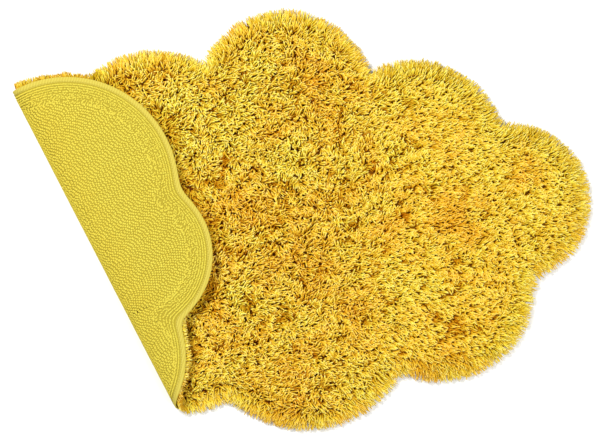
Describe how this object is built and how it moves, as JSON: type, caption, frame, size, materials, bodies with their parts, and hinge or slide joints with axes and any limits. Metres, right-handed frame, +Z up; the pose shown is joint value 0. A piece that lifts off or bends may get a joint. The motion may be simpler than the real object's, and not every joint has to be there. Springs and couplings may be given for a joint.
{
  "type": "shag rug",
  "caption": "Cloud shaped cotton shag rug for a floor, with a scalloped edge of loose locks and its left end folded over so that the stitched woven back shows.",
  "frame": {"origin": "middle of the footprint, on the floor that the back lies on", "axes": "+X along the rug's length, away from the turned end; +Y across it, towards the single top lobe; +Z up out of the floor"},
  "size_m": [1.0725, 0.7865, 0.046],
  "materials": {
    "backing": "matt woven cotton with tufting stitches",
    "pile": "matt cotton shag yarn"
  },
  "bodies": {
    "root": {"backing": "backing", "pile": "pile"}
  },
  "joints": []
}
